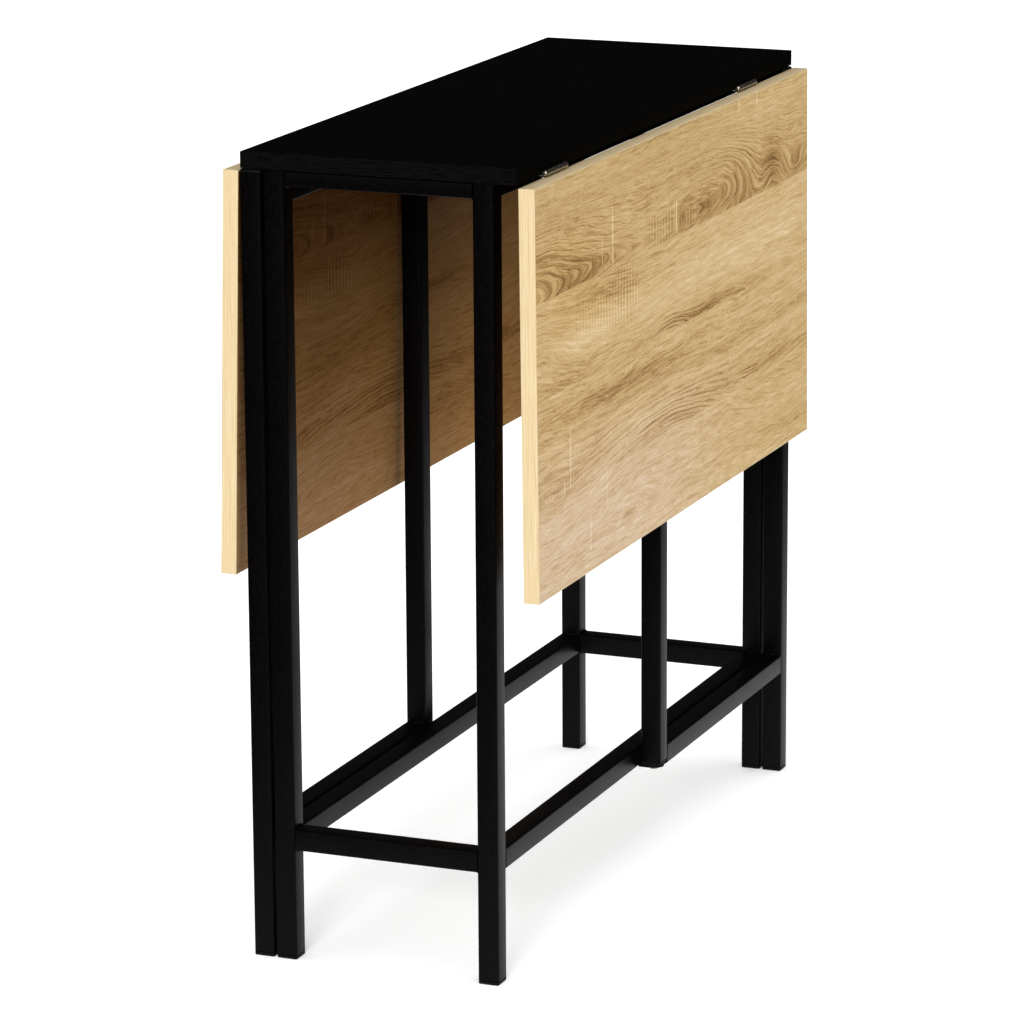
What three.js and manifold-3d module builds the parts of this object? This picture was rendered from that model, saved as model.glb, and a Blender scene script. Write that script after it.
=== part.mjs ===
// A gateleg table, folded: a fixed top on a square-tube frame, two hanging leaves, two swinging gates.
// Millimetres, +Z up. The origin is on the floor under the middle of the table.
// X runs across the narrow top and Y along it, with the near end at -Y. The table is the same turned
// half a turn about Z, so each side is built once and the other side is its turned copy. Only the
// leaves differ, in how far they lean out.

import * as THREE from 'three';
import { mergeVertices } from 'three/addons/utils/BufferGeometryUtils.js';
import Module from 'manifold-3d';

const wasm = await Module();
wasm.setup();

// ---- driving dimensions ----

const GAP = 0.3; // between pieces that touch on the real table
const TABLE_HEIGHT = 745;
const BOARD_THICKNESS = 15; // fixed board and leaves alike
const BOARD_WIDTH = 262;
const BOARD_LENGTH = 735;
const LEAF_DROP = 369; // from the leaf's hinged edge to its free edge
const LEAF_HANG = { left: 1.5, right: 0.5 }; // degrees a hanging leaf leans out

const TUBE = 20; // outside of the square tube
const TUBE_WALL = 1.2;
const TUBE_CORNER = 2;
const RAIL_HEIGHT = 14; // the top rails are of a flatter tube
const FRAME_WIDTH = 219; // outside of the fixed legs
const FRAME_LENGTH = 733;
const STRETCHER_UNDERSIDE = 104.5;

const GATE_GAP = 2.5; // clear space between the fixed frame and a closed gate
const LUG_THICKNESS = 3.2;
const LUG_HOLE_RADIUS = 3.3;
const PLUG_FLANGE = 2; // of the bushes in a gate post
const PLUG_DEPTH = 14; // how far any plug goes into its tube
const GLIDE_HEIGHT = 3;
const CAP_CLEARANCE = 1; // a gate leg's cap stands this far below the boards' undersides

const BOLT_RADIUS = 2.9;
const BOLT_HEAD_RADIUS = 4.8;
const BOLT_HEAD_HEIGHT = 3.2;

const HINGE_LENGTH = 50;
const HINGE_REACH = 20.5; // from the hinge axis to a plate's far edge
const PLATE_THICKNESS = 1.2;
const KNUCKLE_RADIUS = 2.7;
const KNUCKLE_BORE = 1.65;
const KNUCKLE_SPACE = 0.4; // between neighbouring knuckles
const PIN_RADIUS = 1.35;
const PIN_HEAD_RADIUS = 2.1;
const PIN_HEAD_HEIGHT = 0.7;
const SCREW_HOLE_RADIUS = 2.1;
const LEAF_EDGE_OFFSET = 3.6; // from the hinge axis to the leaf's edge
const HINGE_PLACES = [-283, 222]; // along Y, on the right side

// ---- places worked out from them ----

const UNDERSIDE = TABLE_HEIGHT - BOARD_THICKNESS;
const LEG_X = FRAME_WIDTH / 2 - TUBE / 2; // middle of a fixed leg
const LEG_Y = FRAME_LENGTH / 2 - TUBE / 2;
const BETWEEN_LEGS_X = LEG_X - TUBE / 2 - GAP; // half the length of a rail along X
const BETWEEN_LEGS_Y = LEG_Y - TUBE / 2 - GAP;
const LEG_FOOT = GLIDE_HEIGHT + GAP; // a leg's tube starts above its glide
const RAIL_UNDERSIDE = UNDERSIDE - RAIL_HEIGHT;
const GATE_X = FRAME_WIDTH / 2 + GATE_GAP + TUBE / 2; // middle of a closed gate
const LUG_BOTTOM_TOP = STRETCHER_UNDERSIDE + LUG_THICKNESS;
const LUG_TOP_TOP = RAIL_UNDERSIDE - GAP;
const POST_FOOT = LUG_BOTTOM_TOP + GAP + PLUG_FLANGE + GAP;
const POST_HEAD = LUG_TOP_TOP - LUG_THICKNESS - GAP - PLUG_FLANGE - GAP;
const GATE_RAIL_MIDDLE = POST_HEAD - TUBE / 2;
const CAP_TOP = UNDERSIDE - CAP_CLEARANCE;
const KNUCKLE_LENGTH = (HINGE_LENGTH - 2 * KNUCKLE_SPACE) / 3;
const PLATE_FACE = KNUCKLE_RADIUS - PLATE_THICKNESS; // from the hinge axis down to a plate's board side
const HINGE_X = BOARD_WIDTH / 2 + GAP + KNUCKLE_RADIUS;
const HINGE_Z = UNDERSIDE - GAP + PLATE_FACE;

// ---- materials ----

const blackSteel = { color: 0x131214, roughness: 0.45, metalness: 0.2 };
const blackLaminate = { color: 0x0c0b0c, roughness: 0.5, metalness: 0 };
const oakLaminate = { color: 0xc9a676, roughness: 0.6, metalness: 0 };
const platedSteel = { color: 0xb9b7b0, roughness: 0.3, metalness: 1 };
const blackPlastic = { color: 0x171717, roughness: 0.5, metalness: 0 };

// ---- solids ----

function toManifold(geometry) {
  const plain = geometry.index ? geometry.toNonIndexed() : geometry.clone();
  plain.deleteAttribute('normal');
  plain.deleteAttribute('uv');
  const merged = mergeVertices(plain, 1e-4);
  const vertProperties = new Float32Array(merged.attributes.position.array);
  const triVerts = new Uint32Array(merged.index.array);
  return new wasm.Manifold(new wasm.Mesh({ numProp: 3, vertProperties, triVerts }));
}

function toGeometry(solid) {
  const { vertProperties, triVerts } = solid.getMesh();
  const geometry = new THREE.BufferGeometry();
  geometry.setAttribute('position', new THREE.BufferAttribute(vertProperties, 3));
  geometry.setIndex(new THREE.BufferAttribute(triVerts, 1));
  geometry.computeVertexNormals();
  return geometry;
}

function union(...geometries) {
  return toGeometry(geometries.map(toManifold).reduce((whole, next) => whole.add(next)));
}

function cut(geometry, ...tools) {
  const start = toManifold(geometry);
  return toGeometry(tools.map(toManifold).reduce((rest, tool) => rest.subtract(tool), start));
}

function box(from, to) {
  const [x0, y0, z0] = from;
  const [x1, y1, z1] = to;
  const geometry = new THREE.BoxGeometry(x1 - x0, y1 - y0, z1 - z0);
  return geometry.translate((x0 + x1) / 2, (y0 + y1) / 2, (z0 + z1) / 2);
}

function roundedRectangle(path, width, height, radius) {
  const [x, y] = [width / 2, height / 2];
  path.moveTo(x, -y + radius);
  path.lineTo(x, y - radius);
  path.absarc(x - radius, y - radius, radius, 0, Math.PI / 2);
  path.lineTo(-x + radius, y);
  path.absarc(-x + radius, y - radius, radius, Math.PI / 2, Math.PI);
  path.lineTo(-x, -y + radius);
  path.absarc(-x + radius, -y + radius, radius, Math.PI, 1.5 * Math.PI);
  path.lineTo(x - radius, -y);
  path.absarc(x - radius, -y + radius, radius, 1.5 * Math.PI, 2 * Math.PI);
  return path;
}

function circle(radius, segments) {
  const path = new THREE.Path();
  const step = (2 * Math.PI) / segments;
  const points = Array.from({ length: segments }, (_, i) => new THREE.Vector2(radius, 0)
    .rotateAround(new THREE.Vector2(), i * step));
  return path.setFromPoints(points);
}

function extrude(shape, depth, curveSegments = 1) {
  return new THREE.ExtrudeGeometry(shape, { depth, bevelEnabled: false, curveSegments });
}

// A tube that starts at the origin and runs along +Z.
function tube(length, width = TUBE, height = TUBE) {
  const shape = roundedRectangle(new THREE.Shape(), width, height, TUBE_CORNER);
  const [x, y] = [width / 2 - TUBE_WALL, height / 2 - TUBE_WALL];
  const corners = [[x, -y], [x, y], [-x, y], [-x, -y]].map(([u, v]) => new THREE.Vector2(u, v));
  shape.holes.push(new THREE.Path().setFromPoints(corners));
  return extrude(shape, length);
}

// A square plug for a tube's end, flange from z = 0 up to its thickness, body above it, with a bore
// if it has a radius.
function plug(flangeThickness, boreRadius = 0) {
  const flange = roundedRectangle(new THREE.Shape(), TUBE, TUBE, TUBE_CORNER);
  const inner = TUBE - 2 * (TUBE_WALL + GAP);
  const body = roundedRectangle(new THREE.Shape(), inner, inner, TUBE_CORNER / 2);
  if (boreRadius > 0) {
    for (const shape of [flange, body]) {
      shape.holes.push(circle(boreRadius, 16));
    }
  }
  const bodyGeometry = extrude(body, PLUG_DEPTH + GAP).translate(0, 0, flangeThickness);
  return union(extrude(flange, flangeThickness), bodyGeometry);
}

// A button-head bolt: the head's bearing face at z = 0, the head below it and the shaft above.
function bolt(shaftLength) {
  const crown = BOLT_HEAD_RADIUS * 0.55;
  const profile = [
    [0, -BOLT_HEAD_HEIGHT],
    [crown, -BOLT_HEAD_HEIGHT],
    [BOLT_HEAD_RADIUS * 0.85, -BOLT_HEAD_HEIGHT * 0.72],
    [BOLT_HEAD_RADIUS, -BOLT_HEAD_HEIGHT * 0.25],
    [BOLT_HEAD_RADIUS, 0],
    [BOLT_RADIUS, 0],
    [BOLT_RADIUS, shaftLength],
    [0, shaftLength],
  ];
  const points = profile.map(([r, z]) => new THREE.Vector2(r, z));
  return new THREE.LatheGeometry(points, 16).rotateX(Math.PI / 2);
}

// A flat lug in the XY plane from z = 0 up, with its hole at the origin, a round end about it and a
// strap running to `rootX`.
function lug(rootX) {
  const half = TUBE / 2;
  const shape = new THREE.Shape();
  shape.moveTo(rootX, half);
  shape.lineTo(0, half);
  shape.absarc(0, 0, half, Math.PI / 2, 1.5 * Math.PI);
  shape.lineTo(rootX, -half);
  shape.closePath();
  shape.holes.push(circle(LUG_HOLE_RADIUS, 16));
  return extrude(shape, LUG_THICKNESS, 8);
}

// One rolled knuckle with the short root that joins it to its plate, its axis along Y and centred
// on `middle`. The plate lies on the -X side.
function knuckle(middle) {
  const root = KNUCKLE_RADIUS + 3;
  const meet = Math.PI + Math.asin(PLATE_FACE / KNUCKLE_RADIUS);
  const shape = new THREE.Shape();
  shape.moveTo(-root, -KNUCKLE_RADIUS);
  shape.lineTo(0, -KNUCKLE_RADIUS);
  shape.absarc(0, 0, KNUCKLE_RADIUS, -Math.PI / 2, meet);
  shape.lineTo(-root, -PLATE_FACE);
  shape.closePath();
  shape.holes.push(circle(KNUCKLE_BORE, 14));
  const geometry = extrude(shape, KNUCKLE_LENGTH, 7).translate(0, 0, -KNUCKLE_LENGTH / 2);
  return geometry.rotateX(Math.PI / 2).translate(0, middle, 0);
}

// Half of a butt hinge about an axis along Y, its plate on the -X side, with three screw holes.
function hingeHalf(knuckleMiddles) {
  const near = KNUCKLE_RADIUS + 0.5; // the plate's edge clears the other half's knuckles
  const half = HINGE_LENGTH / 2;
  const plate = box([-HINGE_REACH, -half, -KNUCKLE_RADIUS], [-near, half, -PLATE_FACE]);
  const joined = union(plate, ...knuckleMiddles.map(knuckle));
  const across = (HINGE_REACH + near) / 2;
  const drills = [-1, 0, 1].map((step) => {
    const drill = new THREE.CylinderGeometry(SCREW_HOLE_RADIUS, SCREW_HOLE_RADIUS, 6, 10);
    const stagger = step === 0 ? 2.5 : -2.5;
    return drill.rotateX(Math.PI / 2).translate(-across - stagger, step * half * 0.66, -KNUCKLE_RADIUS);
  });
  return cut(joined, ...drills);
}

function hingePin() {
  const half = HINGE_LENGTH / 2 + GAP;
  const tip = half + PIN_HEAD_HEIGHT;
  const profile = [
    [0, -tip],
    [PIN_HEAD_RADIUS * 0.7, -tip],
    [PIN_HEAD_RADIUS, -tip + PIN_HEAD_HEIGHT * 0.5],
    [PIN_HEAD_RADIUS, -half],
    [PIN_RADIUS, -half],
    [PIN_RADIUS, half],
    [PIN_HEAD_RADIUS, half],
    [PIN_HEAD_RADIUS, tip - PIN_HEAD_HEIGHT * 0.5],
    [PIN_HEAD_RADIUS * 0.7, tip],
    [0, tip],
  ];
  return new THREE.LatheGeometry(profile.map(([r, y]) => new THREE.Vector2(r, y)), 14);
}

// ---- the table ----

const table = new THREE.Group();

function add(parent, name, geometry, look) {
  const mesh = new THREE.Mesh(geometry, new THREE.MeshStandardMaterial(look));
  mesh.name = name;
  parent.add(mesh);
  return mesh;
}

// A tube along one axis of its group, from `from` to `to` on it, with its middle at the two other
// coordinates of `at`.
function addTube(parent, name, axis, from, to, at, height = TUBE) {
  const across = axis === 'x' ? [height, TUBE] : [TUBE, height];
  const mesh = add(parent, name, tube(to - from, ...across), blackSteel);
  mesh.position.set(...at);
  mesh.position[axis] = from;
  if (axis === 'x') mesh.rotation.y = Math.PI / 2;
  if (axis === 'y') mesh.rotation.x = -Math.PI / 2;
  return mesh;
}

function addGlide(parent, name, x, y) {
  const glide = add(parent, name, plug(GLIDE_HEIGHT), blackPlastic);
  glide.position.set(x, y, 0);
}

function buildFixedFrame() {
  const railMiddle = UNDERSIDE - GAP - RAIL_HEIGHT / 2;
  const stretcherMiddle = STRETCHER_UNDERSIDE + TUBE / 2;
  for (const [end, ySign] of [['near', -1], ['far', 1]]) {
    for (const [side, xSign] of [['left', -1], ['right', 1]]) {
      const at = [xSign * LEG_X, ySign * LEG_Y, 0];
      addTube(table, `leg_${end}_${side}`, 'z', LEG_FOOT, UNDERSIDE - GAP, at);
      addGlide(table, `foot_glide_${end}_${side}`, at[0], at[1]);
    }
  }
  const levels = [['top_rail', railMiddle, RAIL_HEIGHT], ['stretcher', stretcherMiddle, TUBE]];
  for (const [kind, z, height] of levels) {
    for (const [end, sign] of [['near', -1], ['far', 1]]) {
      const at = [0, sign * LEG_Y, z];
      addTube(table, `${kind}_${end}`, 'x', -BETWEEN_LEGS_X, BETWEEN_LEGS_X, at, height);
    }
    for (const [side, sign] of [['left', -1], ['right', 1]]) {
      const at = [sign * LEG_X, 0, z];
      addTube(table, `${kind}_${side}`, 'y', -BETWEEN_LEGS_Y, BETWEEN_LEGS_Y, at, height);
    }
  }
}

function buildTopBoard() {
  const [x, y] = [BOARD_WIDTH / 2, BOARD_LENGTH / 2];
  add(table, 'top_board', box([-x, -y, UNDERSIDE], [x, y, TABLE_HEIGHT]), blackLaminate);
}

// A gate as it stands on the left side, in a group that the right side turns half a turn.
function buildGate(side) {
  const group = new THREE.Group();
  if (side === 'right') group.rotation.z = Math.PI;
  table.add(group);

  const post = [-GATE_X, 0, 0];
  const leg = [-GATE_X, -LEG_Y, 0];
  const [from, to] = [-BETWEEN_LEGS_Y, -TUBE / 2 - GAP];
  addTube(group, `gate_post_${side}`, 'z', POST_FOOT, POST_HEAD, post);
  addTube(group, `gate_leg_${side}`, 'z', LEG_FOOT, CAP_TOP - GLIDE_HEIGHT - GAP, leg);
  addTube(group, `gate_rail_${side}`, 'y', from, to, [-GATE_X, 0, GATE_RAIL_MIDDLE]);
  const stretcherMiddle = STRETCHER_UNDERSIDE + TUBE / 2;
  addTube(group, `gate_stretcher_${side}`, 'y', from, to, [-GATE_X, 0, stretcherMiddle]);
  addGlide(group, `foot_glide_gate_${side}`, leg[0], leg[1]);
  const cap = add(group, `gate_leg_cap_${side}`, plug(GLIDE_HEIGHT), blackPlastic);
  cap.position.set(leg[0], leg[1], CAP_TOP);
  cap.rotation.x = Math.PI;

  const lugBottom = LUG_BOTTOM_TOP - LUG_THICKNESS;
  const lugTop = LUG_TOP_TOP - LUG_THICKNESS;
  const frameFace = GATE_X - FRAME_WIDTH / 2;
  const shaft = LUG_THICKNESS + GAP + PLUG_FLANGE + PLUG_DEPTH;
  const ends = [
    { end: 'bottom', lugZ: lugBottom, root: frameFace - GAP, bushZ: LUG_BOTTOM_TOP + GAP, turn: 0 },
    { end: 'top', lugZ: lugTop, root: frameFace + TUBE - GAP, bushZ: lugTop - GAP, turn: Math.PI },
  ];
  for (const { end, lugZ, root, bushZ, turn } of ends) {
    const plate = add(group, `pivot_lug_${side}_${end}`, lug(root), blackSteel);
    plate.position.set(-GATE_X, 0, lugZ);
    const bush = add(group, `gate_bush_${side}_${end}`, plug(PLUG_FLANGE, LUG_HOLE_RADIUS), blackPlastic);
    bush.position.set(-GATE_X, 0, bushZ);
    bush.rotation.x = turn;
    const screw = add(group, `pivot_bolt_${side}_${end}`, bolt(shaft), platedSteel);
    screw.position.set(-GATE_X, 0, turn === 0 ? lugZ - GAP : lugZ + LUG_THICKNESS + GAP);
    screw.rotation.x = turn;
  }
}

// A leaf with its two hinges as they are on the right side, in a group that the left side turns.
function buildLeaf(side) {
  const sideGroup = new THREE.Group();
  if (side === 'left') sideGroup.rotation.z = Math.PI;
  table.add(sideGroup);

  // The leaf's own group lies level about the hinge axis, then swings down to hang.
  const hanging = new THREE.Group();
  hanging.position.set(HINGE_X, 0, HINGE_Z);
  hanging.rotation.y = THREE.MathUtils.degToRad(90 - LEAF_HANG[side]);
  sideGroup.add(hanging);
  const underside = GAP - PLATE_FACE;
  const leaf = box(
    [LEAF_EDGE_OFFSET, -BOARD_LENGTH / 2, underside],
    [LEAF_EDGE_OFFSET + LEAF_DROP, BOARD_LENGTH / 2, underside + BOARD_THICKNESS],
  );
  add(hanging, `leaf_${side}`, leaf, oakLaminate);

  for (const y of HINGE_PLACES) {
    const nearEnd = (y < 0) === (side === 'right');
    const name = `hinge_${side}_${nearEnd ? 'near' : 'far'}`;
    const outer = KNUCKLE_LENGTH + KNUCKLE_SPACE;
    const boardHalf = add(sideGroup, `${name}_board_plate`, hingeHalf([-outer, outer]), platedSteel);
    boardHalf.position.set(HINGE_X, y, HINGE_Z);
    const pin = add(sideGroup, `${name}_pin`, hingePin(), platedSteel);
    pin.position.set(HINGE_X, y, HINGE_Z);
    const leafHalf = add(hanging, `${name}_leaf_plate`, hingeHalf([0]), platedSteel);
    leafHalf.position.set(0, y, 0);
    leafHalf.rotation.z = Math.PI;
  }
}

buildFixedFrame();
buildTopBoard();
for (const side of ['left', 'right']) {
  buildGate(side);
  buildLeaf(side);
}

export default table;
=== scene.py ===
# The gateleg table's looks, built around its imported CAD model. Metres, +Z up, near end at -Y.

import math
import random

import bmesh
import bpy
from mathutils import Matrix, Vector


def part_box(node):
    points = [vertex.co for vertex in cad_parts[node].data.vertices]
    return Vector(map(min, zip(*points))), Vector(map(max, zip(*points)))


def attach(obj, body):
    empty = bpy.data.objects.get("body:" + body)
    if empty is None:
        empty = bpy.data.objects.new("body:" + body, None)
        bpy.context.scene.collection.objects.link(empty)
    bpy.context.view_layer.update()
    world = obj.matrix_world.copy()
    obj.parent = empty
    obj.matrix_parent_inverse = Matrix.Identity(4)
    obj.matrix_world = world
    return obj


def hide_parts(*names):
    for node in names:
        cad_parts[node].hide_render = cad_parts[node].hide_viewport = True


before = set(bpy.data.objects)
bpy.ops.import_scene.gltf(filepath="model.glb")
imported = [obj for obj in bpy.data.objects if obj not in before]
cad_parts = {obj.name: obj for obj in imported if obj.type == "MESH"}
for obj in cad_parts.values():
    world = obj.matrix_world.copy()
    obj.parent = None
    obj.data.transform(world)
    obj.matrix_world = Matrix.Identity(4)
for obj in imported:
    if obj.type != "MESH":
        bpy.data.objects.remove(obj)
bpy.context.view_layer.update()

MM = 0.001

LEFT, RIGHT = "left", "right"
NEAR, FAR = "near", "far"
SIDES = (LEFT, RIGHT)

# ---- dimensions that the CAD's boxes don't say, in metres ----

TUBE_CORNER = 2.0 * MM
TUBE_WALL = 1.2 * MM
RIM = 0.35 * MM  # the rounding at a tube's cut ends
BOARD_RIM = 0.7 * MM  # the rounding along a board's edges
BAND = 0.9 * MM  # thickness of the edge banding
LEAF_DEPTH = 369 * MM
HINGE_AXIS_TO_EDGE = 3.6 * MM  # from the hinge axis to a leaf's hinged edge
HINGE_AXIS_TO_UNDERSIDE = 1.2 * MM  # a raised leaf's underside is this far below the axis
HANG = {LEFT: math.radians(1.5), RIGHT: math.radians(0.5)}  # each leaf's lean from plumb
WELD_RADIUS = 2.0 * MM
BEAD_STEP = 0.9 * MM
BEAD_RIPPLE = 0.5 * MM  # how far the weld runs while its ripple turns by one radian
BEAD_SIDES = 10
BUSH_BORE = 3.3 * MM  # radius, in the lugs too
CORNER_STEPS = 4
ROUND = 4 * (CORNER_STEPS + 1)  # points in every lofted ring


# ---- shader graphs ----


class Value:
    """A number in a shader graph. Arithmetic on it adds nodes."""

    def __init__(self, graph, socket):
        self.graph, self.socket = graph, socket

    def __add__(self, other):
        return self.graph.math("ADD", self, other)

    def __sub__(self, other):
        return self.graph.math("SUBTRACT", self, other)

    def __rsub__(self, other):
        return self.graph.math("SUBTRACT", other, self)

    def __mul__(self, other):
        return self.graph.math("MULTIPLY", self, other)

    def __truediv__(self, other):
        return self.graph.math("DIVIDE", self, other)

    __radd__ = __add__


class Graph:
    """A material's node tree, with short ways to add to it."""

    def __init__(self, name):
        self.material = bpy.data.materials.new(name)
        self.material.use_nodes = True
        self.tree = self.material.node_tree
        self.shader = self.tree.nodes["Principled BSDF"]

    def node(self, kind, **settings):
        made = self.tree.nodes.new(kind)
        for key, value in settings.items():
            setattr(made, key, value)
        return made

    def put(self, value, socket):
        if isinstance(value, Value):
            self.tree.links.new(value.socket, socket)
        elif isinstance(value, bpy.types.NodeSocket):
            self.tree.links.new(value, socket)
        else:
            socket.default_value = value

    def math(self, operation, *values):
        made = self.node("ShaderNodeMath", operation=operation)
        for value, socket in zip(values, made.inputs):
            self.put(value, socket)
        return Value(self, made.outputs[0])

    def position(self):
        """The piece's own coordinates in millimetres, as three numbers."""
        place = self.node("ShaderNodeTexCoord").outputs["Object"]
        split = self.node("ShaderNodeSeparateXYZ")
        self.put(place, split.inputs[0])
        return [Value(self, s) * 1000 for s in split.outputs]

    def noise(self, x, y, z, detail, rough=0.5):
        """Noise between 0 and 1 with a middle of 0.5, one unit to a cell."""
        join = self.node("ShaderNodeCombineXYZ")
        for value, socket in zip((x, y, z), join.inputs):
            self.put(value, socket)
        made = self.node("ShaderNodeTexNoise", noise_dimensions="3D")
        self.put(join.outputs[0], made.inputs["Vector"])
        made.inputs["Scale"].default_value = 1.0
        made.inputs["Detail"].default_value = detail
        made.inputs["Roughness"].default_value = rough
        return Value(self, made.outputs[0])

    def smooth(self, value, low, high):
        """0 below `low`, 1 above `high`, smooth between."""
        made = self.node("ShaderNodeMapRange", interpolation_type="SMOOTHSTEP")
        for given, socket in zip((value, low, high, 0.0, 1.0), made.inputs):
            self.put(given, socket)
        return Value(self, made.outputs[0])

    def above(self, value, limit):
        """1 above `limit`, else 0."""
        return self.math("GREATER_THAN", value, limit)

    def hump(self, u, v, at, reach, sharpness=1):
        """1 at `at`, falling off over `reach` along u and v. A sharper one falls off more steeply and
        only towards +u and sideways, so that its contours are loops open towards -u."""
        du, dv = (u - at[0]) / reach[0], (v - at[1]) / reach[1]
        if sharpness > 1:
            du = self.math("MAXIMUM", du, 0.0)
        square = du * du + dv * dv
        if sharpness > 1:
            square = self.math("POWER", square, float(sharpness))
        return self.math("EXPONENT", square * -1.0)

    def ramp(self, value, stops):
        """A colour from a number, by stops of (number, screen colour)."""
        made = self.node("ShaderNodeValToRGB")
        self.put(value, made.inputs[0])
        elements = made.color_ramp.elements
        while len(elements) < len(stops):
            elements.new(0.5)
        for element, (place, colour) in zip(elements, stops):
            element.position = place
            element.color = (*linear(colour), 1)
        return made.outputs[0]

    def mix(self, amount, a, b, blend="MIX"):
        made = self.node("ShaderNodeMix", data_type="RGBA", blend_type=blend)
        self.put(amount, made.inputs[0])
        for colour, socket in ((a, made.inputs[6]), (b, made.inputs[7])):
            self.put((*colour, 1) if isinstance(colour, tuple) else colour, socket)
        return made.outputs[2]

    def bump(self, height, distance, strength):
        """Tilts the shader's normals by a height, `distance` metres from 0 to 1."""
        made = self.node("ShaderNodeBump")
        made.inputs["Strength"].default_value = strength
        made.inputs["Distance"].default_value = distance
        self.put(height, made.inputs["Height"])
        self.put(made.outputs[0], self.shader.inputs["Normal"])

    def set(self, **inputs):
        """Sets the shader's inputs by name, and gives back the finished material."""
        for name, value in inputs.items():
            self.put(value, self.shader.inputs[name.replace("_", " ")])
        return self.material


def linear(colour):
    """A colour given as 0 to 255 screen values, as linear light."""
    return tuple(
        c / 255 / 12.92 if c <= 10 else ((c / 255 + 0.055) / 1.055) ** 2.4 for c in colour
    )


# ---- materials ----


def powder_coat():
    """Satin black powder coat: fine orange peel, a little dust-fine speckle."""
    g = Graph("powder_coat")
    x, y, z = g.position()
    peel = g.noise(x * 0.9, y * 0.9, z * 0.9, detail=2)
    grit = g.noise(x * 5, y * 5, z * 5, detail=1)
    patch = g.noise(x * 0.02, y * 0.02, z * 0.02, detail=3)
    speck = g.smooth(g.noise(x * 3, y * 3, z * 3, detail=0), 0.7, 0.8)
    mottle = g.smooth(g.noise(x * 0.7, y * 0.7, z * 0.7, detail=2, rough=0.7), 0.42, 0.66)
    shade = g.mix(mottle, (0.0002, 0.0002, 0.0002), (0.0020, 0.0013, 0.0017))
    shade = g.mix(speck * 0.25, shade, (0.012, 0.011, 0.012))
    g.bump(peel + grit * 0.35, 0.05 * MM, 0.6)
    return g.set(
        Base_Color=shade,
        Roughness=0.29 + patch * 0.08 + grit * 0.10,
        Specular_IOR_Level=0.078,
        Specular_Tint=(1.0, 0.93, 0.97, 1.0),
    )


def black_laminate(name, along_y):
    """Black laminate with a faint pressed grain of short pores along the board."""
    g = Graph(name)
    x, y, z = g.position()
    along, across = (y, x) if along_y else (x, z)
    cloud = g.noise(x * 0.012, y * 0.012, z * 0.012, detail=3)
    pores = g.noise(across * 1.6, along * 0.06, 3.0, detail=3, rough=0.6)
    fibre = g.noise(across * 5, along * 0.25, 9.0, detail=2)
    shade = g.mix(g.smooth(pores, 0.3, 0.7), (0.0006, 0.0006, 0.0006), (0.0044, 0.0040, 0.0038))
    g.bump(pores + fibre * 0.4, 0.05 * MM, 0.5)
    return g.set(
        Base_Color=shade,
        Roughness=0.46 + cloud * 0.12 + fibre * 0.10,
        Specular_IOR_Level=0.006,
    )


# The printed oak: planks side by side across the leaf, each with its own flow of grain. Places are
# millimetres from the leaf's end along u and from its hinged edge along v.
BOARD_LENGTH = 735.0
SEAMS = (102.0, 189.0, 284.0)
# plank, centre, reach, rings that it lifts, sharpness
SWELLS = (
    (0, (-40, 122), (185, 92), 6.5, 1),
    (0, (380, 64), (200, 44), 7.5, 2),
    (0, (632, 84), (28, 44), 1.5, 1),
    (0, (694, 90), (30, 14), -2.6, 1),
    (1, (-20, 150), (110, 60), 3.0, 1),
    (1, (332, 193), (46, 15), 3.2, 1),
    (2, (318, 306), (150, 46), 7.5, 1),
    (2, (780, 300), (130, 70), 3.5, 1),
    (3, (330, 240), (250, 90), 4.0, 1),
)
# plank, centre, reach, how much darker (or lighter, below 0) the print is there
TONES = (
    (0, (80, 100), (110, 20), 0.26),
    (0, (40, 64), (120, 24), 0.10),
    (0, (470, 92), (140, 24), 0.22),
    (0, (540, 60), (200, 60), 0.10),
    (0, (628, 78), (26, 22), 0.30),
    (0, (600, 26), (170, 20), -0.16),
    (0, (705, 90), (40, 14), 0.24),
    (1, (140, 122), (110, 14), 0.24),
    (1, (440, 185), (140, 10), 0.40),
    (1, (120, 152), (70, 8), -0.26),
    (1, (60, 184), (90, 9), 0.18),
    (1, (580, 130), (180, 24), -0.12),
    (2, (210, 214), (140, 10), 0.24),
    (2, (380, 272), (120, 14), 0.20),
    (2, (640, 272), (120, 8), 0.22),
    (2, (250, 252), (90, 10), -0.12),
    (2, (60, 280), (80, 10), 0.14),
    (3, (560, 300), (140, 14), 0.12),
    (3, (640, 345), (120, 18), 0.10),
    (3, (120, 330), (200, 40), -0.12),
)
# plank, where its growth rings stand out: centre, reach, strength
FIGURE = (
    (0, (70, 78), (120, 34), 0.75),
    (0, (545, 62), (60, 36), 0.85),
    (0, (660, 84), (60, 20), 0.35),
    (1, (340, 184), (60, 12), 1.1),
    (2, (320, 266), (170, 24), 1.5),
    (2, (700, 266), (60, 14), 0.6),
)
# patches of saw marks across the grain: centre, reach, strength
SAWN = (
    ((150, 138), (72, 17), 0.55),
    ((218, 135), (32, 24), 0.95),
    ((315, 88), (40, 13), 0.80),
    ((395, 92), (16, 8), 0.6),
    ((70, 276), (50, 9), 0.35),
)
SAW_PITCH = 7.4
MARK_WIDTH = 1.3
ENDLESS = 1e5  # a reach so long that the place along v makes no difference
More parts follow.
